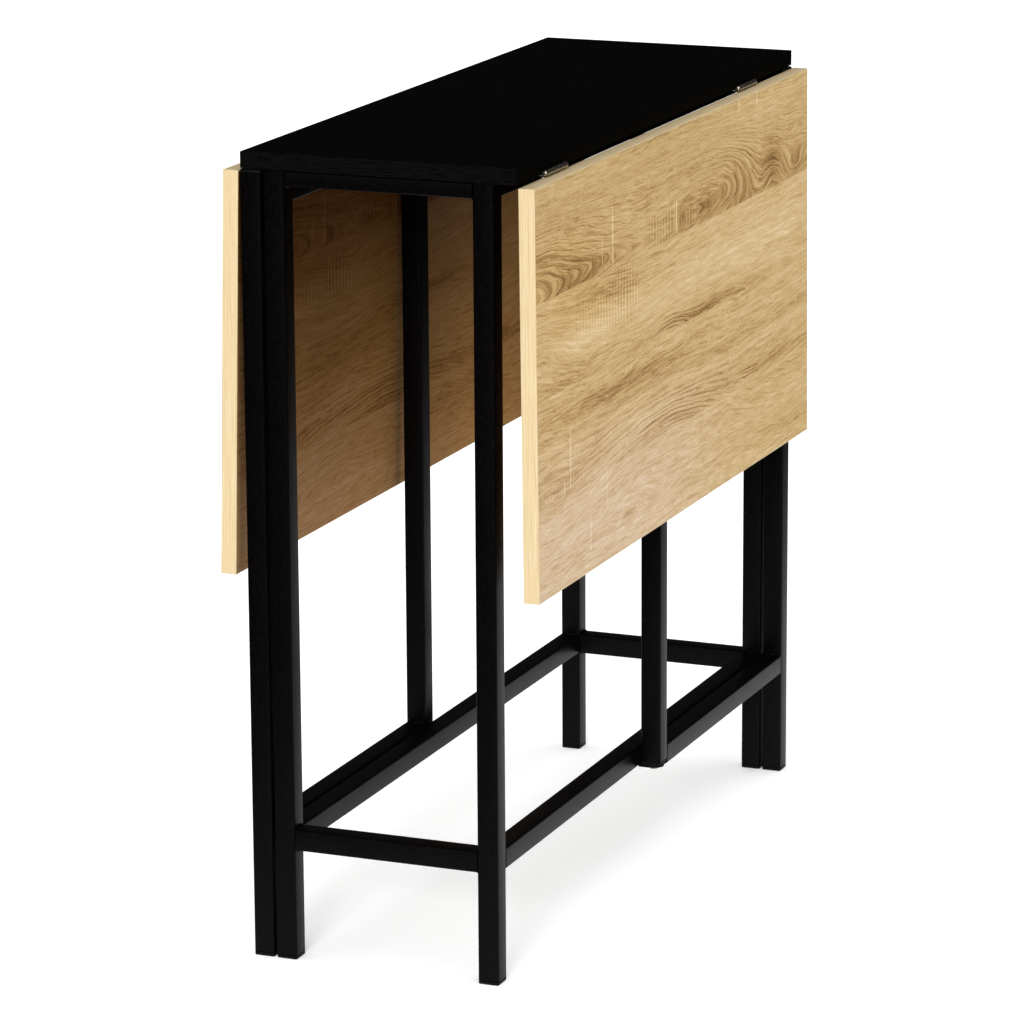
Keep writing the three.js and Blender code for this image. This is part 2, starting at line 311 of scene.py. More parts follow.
# single saw marks: place along u, from v, to v, strength
MARKS = (
    (187.5, 50, 101, 1.0),
    (161, 70, 96, 0.5),
    (354, 68, 101, 1.1),
    (349, 68, 95, 0.4),
    (529, -5, 12, 0.8),
    (581, -5, 18, 0.8),
    (78, 226, 280, 0.7),
    (63, 272, 284, 0.6),
    (127, 318, 352, 0.5),
    (168, 286, 322, 0.3),
)
OAK_TONES = (
    (0.0, (122, 88, 46)),
    (0.22, (164, 129, 80)),
    (0.42, (195, 162, 112)),
    (0.55, (205, 175, 127)),
    (0.78, (218, 191, 149)),
    (1.0, (232, 210, 174)),
)


def oak(name, under=False, seed=0.0, turned=False):
    """Rough-sawn oak print, in one leaf's own axes. Turned, it runs from the other end. Under,
    painted shade darkens it, most at the hinged edge.
    """
    g = Graph(name)
    x, y, _ = g.position()
    v = x - HINGE_AXIS_TO_EDGE / MM
    u = (BOARD_LENGTH / 2 - y) if turned else (y + BOARD_LENGTH / 2)

    steps = [g.above(v, seam) for seam in SEAMS]
    plank = steps[0] + steps[1] + steps[2]
    inside = [1.0 - steps[0], steps[0] - steps[1], steps[1] - steps[2], steps[2]]

    # The flow: lines of one value follow the grain, and one step of it is one growth ring.
    wander = g.noise(u / 210, v / 42, plank * 7.3 + seed, detail=2)
    ripple = g.noise(u / 26, v / 13, plank * 3.1 + seed + 5, detail=2)
    flow = v / 8.0 + wander * 3.2 + ripple * 0.22
    for where, centre, reach, lift, sharpness in SWELLS:
        flow = flow + g.hump(u, v, centre, reach, sharpness) * inside[where] * lift
    layer = plank * 11.7 + seed

    broad = g.noise(flow * 0.30, u / 900, layer, detail=2)
    middle = g.noise(flow * 1.15, u / 230, layer + 3, detail=3, rough=0.62)
    fine = g.noise(flow * 3.2, u / 60, layer + 6, detail=2, rough=0.6)
    fibre = g.noise(flow * 8.5, u / 18, layer + 9, detail=2, rough=0.6)
    rings = g.math("FRACT", flow + middle * 1.6 + fine * 0.5 + fibre * 0.6)
    rings = g.math("POWER", rings, 2.5)
    lines = g.math("FRACT", flow * 2.3 + middle * 3.0 + fine * 0.5)
    lines = g.math("POWER", lines, 2.0)

    figure = 0.24
    for where, centre, reach, strength in FIGURE:
        figure = g.hump(u, v, centre, reach) * inside[where] * strength + figure
    streak = g.smooth(g.noise(flow * 5.0, u / 30, layer + 24, detail=1), 0.42, 0.60)
    glint = g.smooth(g.noise(flow * 6.1, u / 26, layer + 27, detail=1), 0.56, 0.70)
    tone = (broad - 0.5) * 0.42 + (middle - 0.5) * 0.34 + (fine - 0.5) * 0.45
    tone = tone + (fibre - 0.5) * 0.35 + (streak - 0.5) * 0.15 + glint * 0.14 + 0.52
    tone = tone - (lines - 0.33) * 0.10
    emboss = g.smooth(g.noise(v * 0.95, u / 4.5, layer + 30, detail=1), 0.42, 0.62)
    tone = tone - (emboss - 0.4) * 0.10
    tone = tone + inside[1] * 0.07 - inside[0] * 0.03 + inside[3] * 0.04
    tone = tone - (rings - 0.28) * figure * (0.12 + middle * 0.48)
    for where, centre, reach, depth in TONES:
        tone = tone - g.hump(u, v, centre, reach) * inside[where] * depth * (0.45 + middle * 0.75)

    # Saw marks: pale lines across the grain, broken up by the fibre.
    drift = g.noise(u / 30, v / 60, seed, detail=1) * 5
    beat = g.math("COSINE", (u + drift) * (2 * math.pi / SAW_PITCH))
    stripe = g.smooth(beat, 0.45, 0.98) - 0.22
    sawn = 0.0
    for centre, reach, strength in SAWN:
        sawn = g.hump(u, v, centre, reach) * strength + sawn
    saw = stripe * sawn * (0.4 + fine * 1.2)
    for place, start, end, strength in MARKS:
        across = g.hump(u, v, (place, 0), (MARK_WIDTH, ENDLESS))
        along = g.smooth(v, start - 4, start + 6) - g.smooth(v, end - 4, end + 2)
        saw = saw + across * along * strength * (0.5 + fine)
    hairline = g.smooth(g.noise(u * 0.9, v / 90, seed + 21, detail=1), 0.66, 0.8)
    patch = g.smooth(g.noise(u / 120, v / 60, seed + 31, detail=1), 0.5, 0.7)
    saw = saw + hairline * patch * 0.28
    tone = tone + saw * 0.55

    # Pores: short dark dashes that follow the flow, thicker in some places.
    crowd = g.smooth(g.noise(u / 110, v / 28, layer + 12, detail=2), 0.35, 0.75)
    dash = g.smooth(g.noise(flow * 8.5, u / 9, layer + 15, detail=1), 0.60, 0.76)
    crack = g.smooth(g.noise(flow * 4.2, u / 22, layer + 18, detail=2), 0.60, 0.70)
    knotty = g.hump(u, v, (70, 32), (120, 20)) + g.hump(u, v, (420, 40), (110, 18)) * 0.7
    tone = tone - dash * (0.05 + crowd * 0.14) - crack * (knotty * 0.34 + 0.06)

    colour = g.ramp(tone, OAK_TONES)
    # The last planks are a paler, pinker oak towards the near end.
    pale = g.smooth(v, 200, 330) * (1.0 - g.smooth(u, 150, 620))
    colour = g.mix(pale, colour, (1.03, 1.06, 1.40), "MULTIPLY")
    golden = g.hump(u, v, (60, 80), (120, 40)) + g.hump(u, v, (140, 130), (130, 26)) * 0.8
    colour = g.mix(golden * 0.6, colour, (1.0, 0.955, 0.83), "MULTIPLY")
    tint_and_painted_shade = (0.87, 0.86, 0.79)
    # Underneath, painted shade: the print is darkened and browned, darkest at the hinged edge and
    # fading towards the free edge.
    if under:
        tint_and_painted_shade = g.mix(g.smooth(v, -60, 400), (0.12, 0.050, 0.013), (0.56, 0.43, 0.28))
    colour = g.mix(1.0, colour, tint_and_painted_shade, "MULTIPLY")
    g.bump(fine * 0.6 + fibre * 0.6 - dash * 0.8 - crack * knotty + saw * 0.5, 0.09 * MM, 0.5)
    return g.set(
        Base_Color=colour,
        Roughness=0.50 + (fine - 0.5) * 0.18 + dash * 0.12,
        Specular_IOR_Level=0.01 if under else 0.08,
    )


def edge_banding():
    """Pale glued-on banding with fine straight grain along each edge."""
    g = Graph("edge_banding")
    x, y, z = g.position()
    streak = g.noise(z * 1.5, (x + y) / 90, 2.0, detail=3, rough=0.6)
    fibre = g.noise(z * 5.5, (x + y) / 22, 6.0, detail=2, rough=0.6)
    tone = 0.5 + (streak - 0.5) * 1.3 + (fibre - 0.5) * 0.9
    colour = g.ramp(tone, ((0.0, (160, 132, 92)), (0.5, (191, 171, 133)), (1.0, (209, 196, 168))))
    g.bump(fibre + streak * 0.5, 0.04 * MM, 0.5)
    return g.set(
        Base_Color=colour,
        Roughness=0.46 + (fibre - 0.5) * 0.2,
        Specular_IOR_Level=0.08,
    )


def plated_steel():
    """Bright zinc plate: fine drawn lines, cloudy patches of duller plate."""
    g = Graph("plated_steel")
    x, y, z = g.position()
    lines = g.noise(x * 6, y * 0.4, z * 6, detail=2)
    cloud = g.noise(x * 0.25, y * 0.25, z * 0.25, detail=3)
    pits = g.smooth(g.noise(x * 2.4, y * 2.4, z * 2.4, detail=2), 0.62, 0.75)
    colour = g.mix(cloud, linear((150, 142, 132)), linear((188, 180, 168)))
    colour = g.mix(pits * 0.35, colour, linear((110, 98, 84)))
    g.bump(lines + pits * 0.4, 0.03 * MM, 0.5)
    return g.set(
        Base_Color=colour,
        Metallic=1.0,
        Roughness=0.16 + cloud * 0.12 + lines * 0.08,
    )


def black_plastic():
    """Moulded black plastic: a fine spark-eroded grain with duller scuffs."""
    g = Graph("black_plastic")
    x, y, z = g.position()
    grain = g.noise(x * 2.2, y * 2.2, z * 2.2, detail=2)
    scuff = g.smooth(g.noise(x * 0.5, y * 0.5, z * 1.5, detail=3), 0.55, 0.75)
    colour = g.mix(scuff * 0.5, (0.002, 0.002, 0.002), (0.007, 0.006, 0.006))
    g.bump(grain, 0.06 * MM, 0.6)
    return g.set(
        Base_Color=colour,
        Roughness=0.44 + scuff * 0.15 + grain * 0.12,
        Specular_IOR_Level=0.10,
    )


COAT = powder_coat()
TOP_FACE = black_laminate("black_laminate", along_y=True)
TOP_EDGE = black_laminate("black_edge_banding", along_y=False)
OAK_RIGHT = oak("oak_print_right")
OAK_LEFT = oak("oak_print_left", seed=80.0, turned=True)
# The leaves' underside, with painted shade in its colour.
OAK_UNDERSIDE_PAINTED_SHADE = oak("oak_print_underside_painted_shade", under=True, seed=40.0, turned=True)
BANDING = edge_banding()
PLATED = plated_steel()
PLASTIC = black_plastic()


# ---- mesh helpers ----


def finish_mesh(name, bm, materials, body, replaced=(), at=None):
    """Makes a piece of the mesh so far, on its body, standing for the CAD nodes `replaced`."""
    bmesh.ops.recalc_face_normals(bm, faces=bm.faces)
    mesh = bpy.data.meshes.new(name)
    bm.to_mesh(mesh)
    bm.free()
    for material in materials:
        mesh.materials.append(material)
    mesh.shade_smooth()
    mesh.set_sharp_from_angle(angle=math.radians(32))
    piece = bpy.data.objects.new(name, mesh)
    bpy.context.scene.collection.objects.link(piece)
    if at is not None:
        piece.matrix_world = at
    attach(piece, body)
    if replaced:
        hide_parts(*replaced)


def rounded_ring(width, height, radius):
    """Points of a rounded rectangle, anticlockwise, the same number whatever its size."""
    points = []
    for corner in range(4):
        cx = (width / 2 - radius) * (1 if corner in (0, 3) else -1)
        cy = (height / 2 - radius) * (1 if corner in (0, 1) else -1)
        for step in range(CORNER_STEPS + 1):
            angle = math.radians(90 * (corner + step / CORNER_STEPS))
            points.append((cx + radius * math.cos(angle), cy + radius * math.sin(angle)))
    return points


def polar_ring(radius_at):
    """Points about the middle at the distance that `radius_at(angle)` gives."""
    turns = [2 * math.pi * (i + 0.5) / ROUND for i in range(ROUND)]
    return [(radius_at(a) * math.cos(a), radius_at(a) * math.sin(a)) for a in turns]


def circle_ring(radius):
    return polar_ring(lambda angle: radius)


def hexagon_ring(radius):
    """Points round a hexagon whose corners are at `radius`."""
    flat = radius * math.cos(math.pi / 6)
    return polar_ring(lambda a: flat / math.cos((a % (math.pi / 3)) - math.pi / 6))


def cross_ring(length, half_width):
    """Points round a cross whose four arms have this length and half width."""

    def radius_at(angle):
        near_arm = (angle + math.pi / 4) % (math.pi / 2) - math.pi / 4
        along = length / math.cos(near_arm)
        side = half_width / max(abs(math.sin(near_arm)), 1e-6)
        return min(along, side)

    return polar_ring(radius_at)


def loft(bm, levels, place, ends=True):
    """Skins a stack of rings. Each level is (ring, height), and `place` puts (a, b, height) in 3-D.
    Without ends the last ring joins the first, for a piece with a bore."""
    rings = [[bm.verts.new(place(a, b, h)) for a, b in ring] for ring, h in levels]
    pairs = list(zip(rings, rings[1:]))
    if not ends:
        pairs.append((rings[-1], rings[0]))
    for low, high in pairs:
        for i in range(len(low)):
            j = (i + 1) % len(low)
            bm.faces.new((low[i], low[j], high[j], high[i]))
    if ends:
        bm.faces.new(rings[0])
        bm.faces.new(rings[-1])


def upright(centre, flip=False):
    """A `place` for loft: heights go up from `centre`, or down from it."""
    sign = -1 if flip else 1
    return lambda a, b, h: (centre[0] + a, centre[1] + b, centre[2] + sign * h)


def along_axis(axis, centre):
    """A `place` for loft: heights are absolute positions along one axis."""

    def place(a, b, h):
        if axis == 0:
            return (h, centre[1] + a, centre[2] + b)
        if axis == 1:
            return (centre[0] + a, h, centre[2] + b)
        return (centre[0] + a, centre[1] + b, h)

    return place


def round_edges(bm, width, segments=2):
    """Rounds every edge where two faces meet at more than 50 degrees."""
    limit = math.radians(50)
    shared = [edge for edge in bm.edges if len(edge.link_faces) == 2]
    edges = [edge for edge in shared if edge.calc_face_angle() > limit]
    bmesh.ops.bevel(bm, geom=edges, offset=width, segments=segments, profile=0.5, affect="EDGES")


def fill_plate(bm, outline, holes, z, thickness):
    """A flat plate with round holes, from `z` up."""
    edges = []

    def closed(points):
        verts = [bm.verts.new((x, y, z)) for x, y in points]
        edges.extend(bm.edges.new((a, b)) for a, b in zip(verts, verts[1:] + verts[:1]))

    closed(outline)
    for (cx, cy), radius in holes:
        closed([(cx + x, cy + y) for x, y in circle_ring(radius)])
    filled = bmesh.ops.triangle_fill(bm, use_beauty=True, use_dissolve=False, edges=edges)
    faces = [f for f in filled["geom"] if isinstance(f, bmesh.types.BMFace)]
    grown = bmesh.ops.extrude_face_region(bm, geom=faces)
    verts = [v for v in grown["geom"] if isinstance(v, bmesh.types.BMVert)]
    bmesh.ops.translate(bm, verts=verts, vec=(0, 0, thickness))


def middle_and_size(node):
    """The middle of a CAD node's box, and its three sizes."""
    low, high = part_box(node)
    return (low + high) / 2, high - low


# ---- the square tubes ----


def add_tube(node):
    """A piece of square tube with drawn corners, a wall and cut ends, where the CAD has it."""
    middle, size = middle_and_size(node)
    axis = max(range(3), key=lambda i: size[i])
    width, height = (size[i] for i in range(3) if i != axis)
    start, end = middle[axis] - size[axis] / 2, middle[axis] + size[axis] / 2
    outer = rounded_ring(width, height, TUBE_CORNER)
    eased = rounded_ring(width - 2 * RIM, height - 2 * RIM, TUBE_CORNER - RIM)
    inner = rounded_ring(width - 2 * TUBE_WALL, height - 2 * TUBE_WALL, TUBE_CORNER - TUBE_WALL)
    levels = [
        (eased, start),
        (outer, start + RIM),
        (outer, end - RIM),
        (eased, end),
        (inner, end),
        (inner, start),
    ]
    bm = bmesh.new()
    loft(bm, levels, along_axis(axis, middle), ends=False)
    finish_mesh(f"{node}_tube", bm, [COAT], "frame", [node])


TUBES = [
    node
    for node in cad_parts
    if node.startswith(("leg_", "top_rail_", "stretcher_"))
    or node.startswith(tuple(f"gate_{part}_" for part in ("post", "rail", "stretcher")))
    or node in ("gate_leg_left", "gate_leg_right")
]
for tube_node in sorted(TUBES):
    add_tube(tube_node)


# ---- weld beads ----


def add_bead(bm, start, end, rng):
    """One rippled run of weld from `start` to `end`, tapered where it stops."""
    run = end - start
    direction = run.normalized()
    side = direction.orthogonal().normalized()
    up = direction.cross(side)
    steps = max(10, round(run.length / BEAD_STEP))
    beat = rng.uniform(0, 6)
    rings = []
    for i in range(steps + 1):
        share = i / steps
        taper = min(1, 0.25 + 5 * min(share, 1 - share))
        ripple = 1 + 0.14 * math.sin(beat + run.length * share / BEAD_RIPPLE)
        radius = WELD_RADIUS * taper * ripple * rng.uniform(0.95, 1.05)
        centre = start + run * share
        ring = []
        for k in range(BEAD_SIDES):
            angle = 2 * math.pi * k / BEAD_SIDES
            outward = side * math.cos(angle) + up * math.sin(angle)
            ring.append(bm.verts.new(centre + radius * outward))
        rings.append(ring)
    for low, high in zip(rings, rings[1:]):
        for k in range(BEAD_SIDES):
            j = (k + 1) % BEAD_SIDES
            bm.faces.new((low[k], low[j], high[j], high[k]))
    bm.faces.new(rings[0])
    bm.faces.new(rings[-1])


def bead_ends(rail, level):
    """The beads across a rail's two ends, along its top or its underside."""
    middle, size = middle_and_size(rail)
    axis = 0 if size[0] > size[1] else 1
    across = 1 - axis
    z = middle[2] + (size[2] / 2 if level == "top" else -size[2] / 2)
    half = size[across] / 2 - TUBE_CORNER
    for sign in (-1, 1):
        ends = []
        for side in (-1, 1):
            point = [0.0, 0.0, z]
            point[axis] = middle[axis] + sign * size[axis] / 2
            point[across] = middle[across] + side * half
            ends.append(Vector(point))
        yield ends


def add_beads(name, runs, seed):
    """All the beads of one welded frame, as one piece. Each run is (rail, "top" or "under")."""
    rng = random.Random(seed)
    bm = bmesh.new()
    for rail, level in runs:
        for start, end in bead_ends(rail, level):
            add_bead(bm, start, end, rng)
    finish_mesh(name, bm, [COAT], "frame")


FRAME_SEED = 11
GATE_SEEDS = {LEFT: 23, RIGHT: 37}
frame_runs = []
for place in (NEAR, FAR, LEFT, RIGHT):
    frame_runs += [(f"stretcher_{place}", "top"), (f"stretcher_{place}", "under")]
    frame_runs += [(f"top_rail_{place}", "under")]
add_beads("weld_beads_frame", frame_runs, FRAME_SEED)
for side in SIDES:
    gate_runs = [
        (f"gate_{rail}_{side}", level)
        for rail in ("rail", "stretcher")
        for level in ("top", "under")
    ]
    add_beads(f"weld_beads_gate_{side}", gate_runs, GATE_SEEDS[side])


# ---- plastic plugs, caps and bushes ----


def square_ring(width, less, corner):
    """A square ring `less` millimetres under `width`, with its corner radius in millimetres."""
    return rounded_ring(width - less * MM, width - less * MM, corner * MM)


def add_plug(node, flange, bore=0.0, flip=False):
    """A moulded plug in a tube's end: an eased flange outside, a ribbed body inside."""
    low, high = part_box(node)
    middle = (low + high) / 2
    width, height = high[0] - low[0], high[2] - low[2]
    inner = width - 2 * (TUBE_WALL + 0.25 * MM)
    levels = [
        (square_ring(width, 1.8, 1.6), 0),
        (square_ring(width, 0.8, 1.8), 0.15 * MM),
        (square_ring(width, 0.2, 2.0), 0.5 * MM),
        (square_ring(width, 0, 2.0), 0.9 * MM),
        (square_ring(width, 0, 2.0), flange - 0.2 * MM),
        (square_ring(width, 0.5, 1.8), flange),
        (square_ring(inner, 0, 1.0), flange),
    ]
    for groove in range(3):
        base = flange + (3 + 3.4 * groove) * MM
        levels += [
            (square_ring(inner, 0, 1.0), base),
            (square_ring(inner, 0.9, 1.0), base + 0.3 * MM),
            (square_ring(inner, 0.9, 1.0), base + 1.6 * MM),
            (square_ring(inner, 0, 1.0), base + 1.9 * MM),
        ]
    levels.append((square_ring(inner, 1.2, 0.8), height))
    if bore:
        hole = rounded_ring(2 * bore, 2 * bore, bore)
        levels += [(hole, height), (hole, 0)]
    centre = Vector((middle[0], middle[1], high[2] if flip else low[2]))
    bm = bmesh.new()
    loft(bm, levels, upright(centre, flip), ends=not bore)
    finish_mesh(f"{node}_moulding", bm, [PLASTIC], "frame", [node])


LEG_FLANGE = 3 * MM
BUSH_FLANGE = 2 * MM
for node in sorted(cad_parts):
    if node.startswith("foot_glide_"):
        add_plug(node, LEG_FLANGE)
    elif node.startswith("gate_leg_cap_"):
        add_plug(node, LEG_FLANGE, flip=True)
    elif node.startswith("gate_bush_"):
        add_plug(node, BUSH_FLANGE, bore=BUSH_BORE, flip=node.endswith("top"))


# ---- pivot lugs and bolts ----


def add_lug(side, end):
    """A flat lug with a round end and a drilled hole, welded to the frame."""
    node = f"pivot_lug_{side}_{end}"
    low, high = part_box(node)
    post, _ = middle_and_size(f"gate_post_{side}")
    sign = -1 if side == LEFT else 1
    half = (high[1] - low[1]) / 2
    root = low[0] if side == RIGHT else high[0]
    outline = [(root, half), (post[0], half)]
    arc_steps = 16
    for i in range(1, arc_steps):
        angle = math.radians(90 - 180 * i / arc_steps)
        outline.append((post[0] + sign * half * math.cos(angle), half * math.sin(angle)))
    outline += [(post[0], -half), (root, -half)]
    bm = bmesh.new()
    fill_plate(bm, outline, [((post[0], 0), BUSH_BORE)], low[2], high[2] - low[2])
    round_edges(bm, 0.3 * MM)
    finish_mesh(f"{node}_plate", bm, [COAT], "frame", [node])


def add_bolt(side, end):
    """A button-head bolt with a hexagon socket. Its head is at the outer end."""
    node = f"pivot_bolt_{side}_{end}"
    low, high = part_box(node)
    middle = (low + high) / 2
    length = high[2] - low[2]
    head, shank, socket = 3.2 * MM, 2.9 * MM, 1.9 * MM
    levels = [
        (hexagon_ring(socket), 1.6 * MM),
        (hexagon_ring(socket), 0.05 * MM),
        (circle_ring(2.3 * MM), 0),
        (circle_ring(3.1 * MM), 0.25 * MM),
        (circle_ring(3.9 * MM), 0.8 * MM),
        (circle_ring(4.5 * MM), 1.6 * MM),
        (circle_ring(4.75 * MM), 2.5 * MM),
        (circle_ring(4.75 * MM), head - 0.15 * MM),
        (circle_ring(4.6 * MM), head),
        (circle_ring(shank), head),
        (circle_ring(shank), length - 0.6 * MM),
        (circle_ring(shank - 0.5 * MM), length),
    ]
    centre = Vector((middle[0], middle[1], low[2] if end == "bottom" else high[2]))
    bm = bmesh.new()
    loft(bm, levels, upright(centre, flip=end == "top"))
    finish_mesh(f"{node}_button", bm, [PLATED], "frame", [node])


for side in SIDES:
    for end in ("bottom", "top"):
        add_lug(side, end)
        add_bolt(side, end)


# ---- boards ----


def add_board(name, low, high, materials, body, replaced, at=None):
    """A panel with eased edges and banding glued round it. The materials are the top face, the
    underside and the banding."""
    bm = bmesh.new()
    bmesh.ops.create_cube(bm, size=1)
    for vert in bm.verts:
        vert.co = Vector([low[i] if vert.co[i] < 0 else high[i] for i in range(3)])
    round_edges(bm, BOARD_RIM, segments=3)
    cuts = [(0, low[0] + BAND), (0, high[0] - BAND), (1, low[1] + BAND), (1, high[1] - BAND)]
    for axis, place in cuts:
        normal = Vector((axis == 0, axis == 1, 0))
        geometry = bm.verts[:] + bm.edges[:] + bm.faces[:]
        bmesh.ops.bisect_plane(bm, geom=geometry, plane_co=normal * place, plane_no=normal)
    bm.normal_update()
    for face in bm.faces:
        centre = face.calc_center_median()
        within = all(low[i] + BAND < centre[i] < high[i] - BAND for i in (0, 1))
        if not within or abs(face.normal.z) < 0.9:
            face.material_index = 2
        else:
            face.material_index = 0 if face.normal.z > 0 else 1
    finish_mesh(name, bm, materials, body, replaced, at)


board_low, board_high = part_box("top_board")
add_board(
    "top_board_panel",
    board_low,
    board_high,
    [TOP_FACE, TOP_FACE, TOP_EDGE],
    "frame",
    ["top_board"],
)


def hinge_axis(side):
    """Where a side's hinge axis passes the middle of the table."""
    middle, _ = middle_and_size(f"hinge_{side}_{NEAR}_pin")
    return Vector((middle[0], 0, middle[2]))


def level_frame(side, place):
    """Level axes at `place` with x running out from the table."""
    turn = Matrix.Rotation(math.pi, 4, "Z") if side == LEFT else Matrix.Identity(4)
    return Matrix.Translation(place) @ turn


def hanging_frame(side, place):
    """A leaf's own axes at rest: x runs down it from the hinge, z points out of its top face."""
    return level_frame(side, place) @ Matrix.Rotation(math.pi / 2 - HANG[side], 4, "Y")


half_length = (board_high[1] - board_low[1]) / 2
thickness = board_high[2] - board_low[2]
leaf_low = Vector((HINGE_AXIS_TO_EDGE, -half_length, -HINGE_AXIS_TO_UNDERSIDE))
leaf_high = leaf_low + Vector((LEAF_DEPTH, 2 * half_length, thickness))
for side in SIDES:
    add_board(
        f"leaf_{side}_panel",
        leaf_low,
        leaf_high,
        [OAK_LEFT if side == LEFT else OAK_RIGHT, OAK_UNDERSIDE_PAINTED_SHADE, BANDING],
        f"leaf_{side}",
        [f"leaf_{side}"],
        hanging_frame(side, hinge_axis(side)),
    )


# ---- hinges ----

KNUCKLE = 2.7 * MM  # radius
KNUCKLE_BORE = 1.65 * MM
PIN_RADIUS = 1.35 * MM
RIVET_RADIUS = 2.05 * MM
RIVET_THICKNESS = 0.7 * MM
PLATE_THICKNESS = 1.2 * MM
PLATE_CORNER = 2.2 * MM
PLATE_EDGE = KNUCKLE + 0.5 * MM  # from the axis to the plate's straight edge
HINGE_LENGTH = 50 * MM
HINGE_REACH = 20.5 * MM
KNUCKLE_SPACE = 0.4 * MM
KNUCKLE_LENGTH = (HINGE_LENGTH - 2 * KNUCKLE_SPACE) / 3
SCREW_ACROSS = (HINGE_REACH + PLATE_EDGE) / 2
SCREW_STAGGER = 2.5 * MM
SCREW_PITCH = HINGE_LENGTH * 0.33
SCREW_PLACES = (
    (-SCREW_ACROSS + SCREW_STAGGER, -SCREW_PITCH),
    (-SCREW_ACROSS - SCREW_STAGGER, 0.0),
    (-SCREW_ACROSS + SCREW_STAGGER, SCREW_PITCH),
)
SCREW_HOLE = 2.1 * MM
SCREW_HEAD = 1.9 * MM


def hinge_half_mesh(middles):
    """Half a butt hinge with its plate on the -x side: drilled plate, rolled knuckles."""
    bm = bmesh.new()
    half = HINGE_LENGTH / 2
    outline = [(-PLATE_EDGE, -half), (-PLATE_EDGE, half)]
    for sign, first_angle in ((1, 90), (-1, 180)):
        cx = -HINGE_REACH + PLATE_CORNER
        cy = sign * (half - PLATE_CORNER)
        for i in range(6):
            angle = math.radians(first_angle + 18 * i)
            x = cx + PLATE_CORNER * math.cos(angle)
            outline.append((x, cy + PLATE_CORNER * math.sin(angle)))
    holes = [(place, SCREW_HOLE) for place in SCREW_PLACES]
    fill_plate(bm, outline, holes, -KNUCKLE, PLATE_THICKNESS)
    round_edges(bm, 0.15 * MM)
    for middle in middles:
        low, high = middle - KNUCKLE_LENGTH / 2, middle + KNUCKLE_LENGTH / 2
        ease = 0.2 * MM
        levels = [
            (circle_ring(KNUCKLE - ease), low),
            (circle_ring(KNUCKLE), low + ease),
            (circle_ring(KNUCKLE), high - ease),
            (circle_ring(KNUCKLE - ease), high),
            (circle_ring(KNUCKLE_BORE), high),
            (circle_ring(KNUCKLE_BORE), low),
        ]
        loft(bm, levels, along_axis(1, (0, 0, 0)), ends=False)
        # The strap that runs from the plate into the knuckle.
        root = -PLATE_EDGE - 0.2 * MM
        strap = [
            (root, -KNUCKLE),
            (-0.6 * MM, -KNUCKLE + 0.02 * MM),
            (-1.5 * MM, -KNUCKLE + 0.75 * MM),
            (-2.2 * MM, -KNUCKLE + PLATE_THICKNESS),
            (root, -KNUCKLE + PLATE_THICKNESS),
        ]
        rings = [[bm.verts.new((x, y, z)) for x, z in strap] for y in (low, high)]
        for i in range(len(strap)):
            j = (i + 1) % len(strap)
            bm.faces.new((rings[0][i], rings[0][j], rings[1][j], rings[1][i]))
        bm.faces.new(rings[0])
        bm.faces.new(rings[1])
    return bm


def add_screw(bm, centre, radius, turn, rise):
    """A cross-recessed screw with its crown, `rise` high, facing down at `centre`."""
    cos, sin = math.cos(turn), math.sin(turn)
    cross = cross_ring(radius * 0.55, radius * 0.16)
    recess = [(a * cos - b * sin, a * sin + b * cos) for a, b in cross]
    tip = [(a * 0.55, b * 0.55) for a, b in recess]
    levels = [
        (tip, radius * 0.55),
        (recess, 0),
        (circle_ring(radius * 0.72), rise * 0.12),
        (circle_ring(radius * 0.93), rise * 0.5),
        (circle_ring(radius), rise),
        (circle_ring(radius), rise + 0.3 * MM),
        (circle_ring(radius * 0.5), rise + 1.2 * MM),
    ]
    loft(bm, levels, upright(centre))


def add_hinge(side, place):
    """A butt hinge: a half with its screws on the board, another on the leaf, and a pin."""
    name = f"hinge_{side}_{place}"
    middle, size = middle_and_size(f"{name}_pin")
    at = level_frame(side, middle)
    # The leaf's half is the same stamping, on the other side of the axis.
    hanging = hanging_frame(side, middle) @ Matrix.Rotation(math.pi, 4, "Z")
    outer = KNUCKLE_LENGTH + KNUCKLE_SPACE
    halves = (
        ("board", [-outer, outer], at, "frame"),
        ("leaf", [0], hanging, f"leaf_{side}"),
    )
    for half, middles, matrix, body in halves:
        node = f"{name}_{half}_plate"
        finish_mesh(f"{node}_stamping", hinge_half_mesh(middles), [PLATED], body, [node], matrix)
        bm = bmesh.new()
        for i, (x, y) in enumerate(SCREW_PLACES):
            centre = Vector((x, y, -KNUCKLE - 0.1 * MM))
            add_screw(bm, centre, SCREW_HEAD, 0.4 + 0.9 * i, 0.5 * MM)
        finish_mesh(f"{name}_{half}_screws", bm, [PLATED], body, (), matrix)

    end = size[1] / 2
    rivet = [
        (1.0 * MM, end),
        (1.7 * MM, end - 0.12 * MM),
        (RIVET_RADIUS, end - 0.4 * MM),
        (RIVET_RADIUS, end - RIVET_THICKNESS),
        (PIN_RADIUS, end - RIVET_THICKNESS),
    ]
    levels = [(circle_ring(radius), -y) for radius, y in rivet]
    levels += [(circle_ring(radius), y) for radius, y in reversed(rivet)]
    bm = bmesh.new()
    loft(bm, levels, along_axis(1, (0, 0, 0)))
    finish_mesh(f"{name}_pin_rivet", bm, [PLATED], "frame", [f"{name}_pin"], at)


for side in SIDES:
    for place in (NEAR, FAR):
        add_hinge(side, place)


# ---- screws up through the top rails ----


RAIL_SCREW_HEAD = 3.6 * MM
RAIL_SCREW_CROWN = 1.3 * MM
RAIL_SCREW_SHARES = (-0.36, 0.15, 0.36)  # places along a long rail, in lengths of it


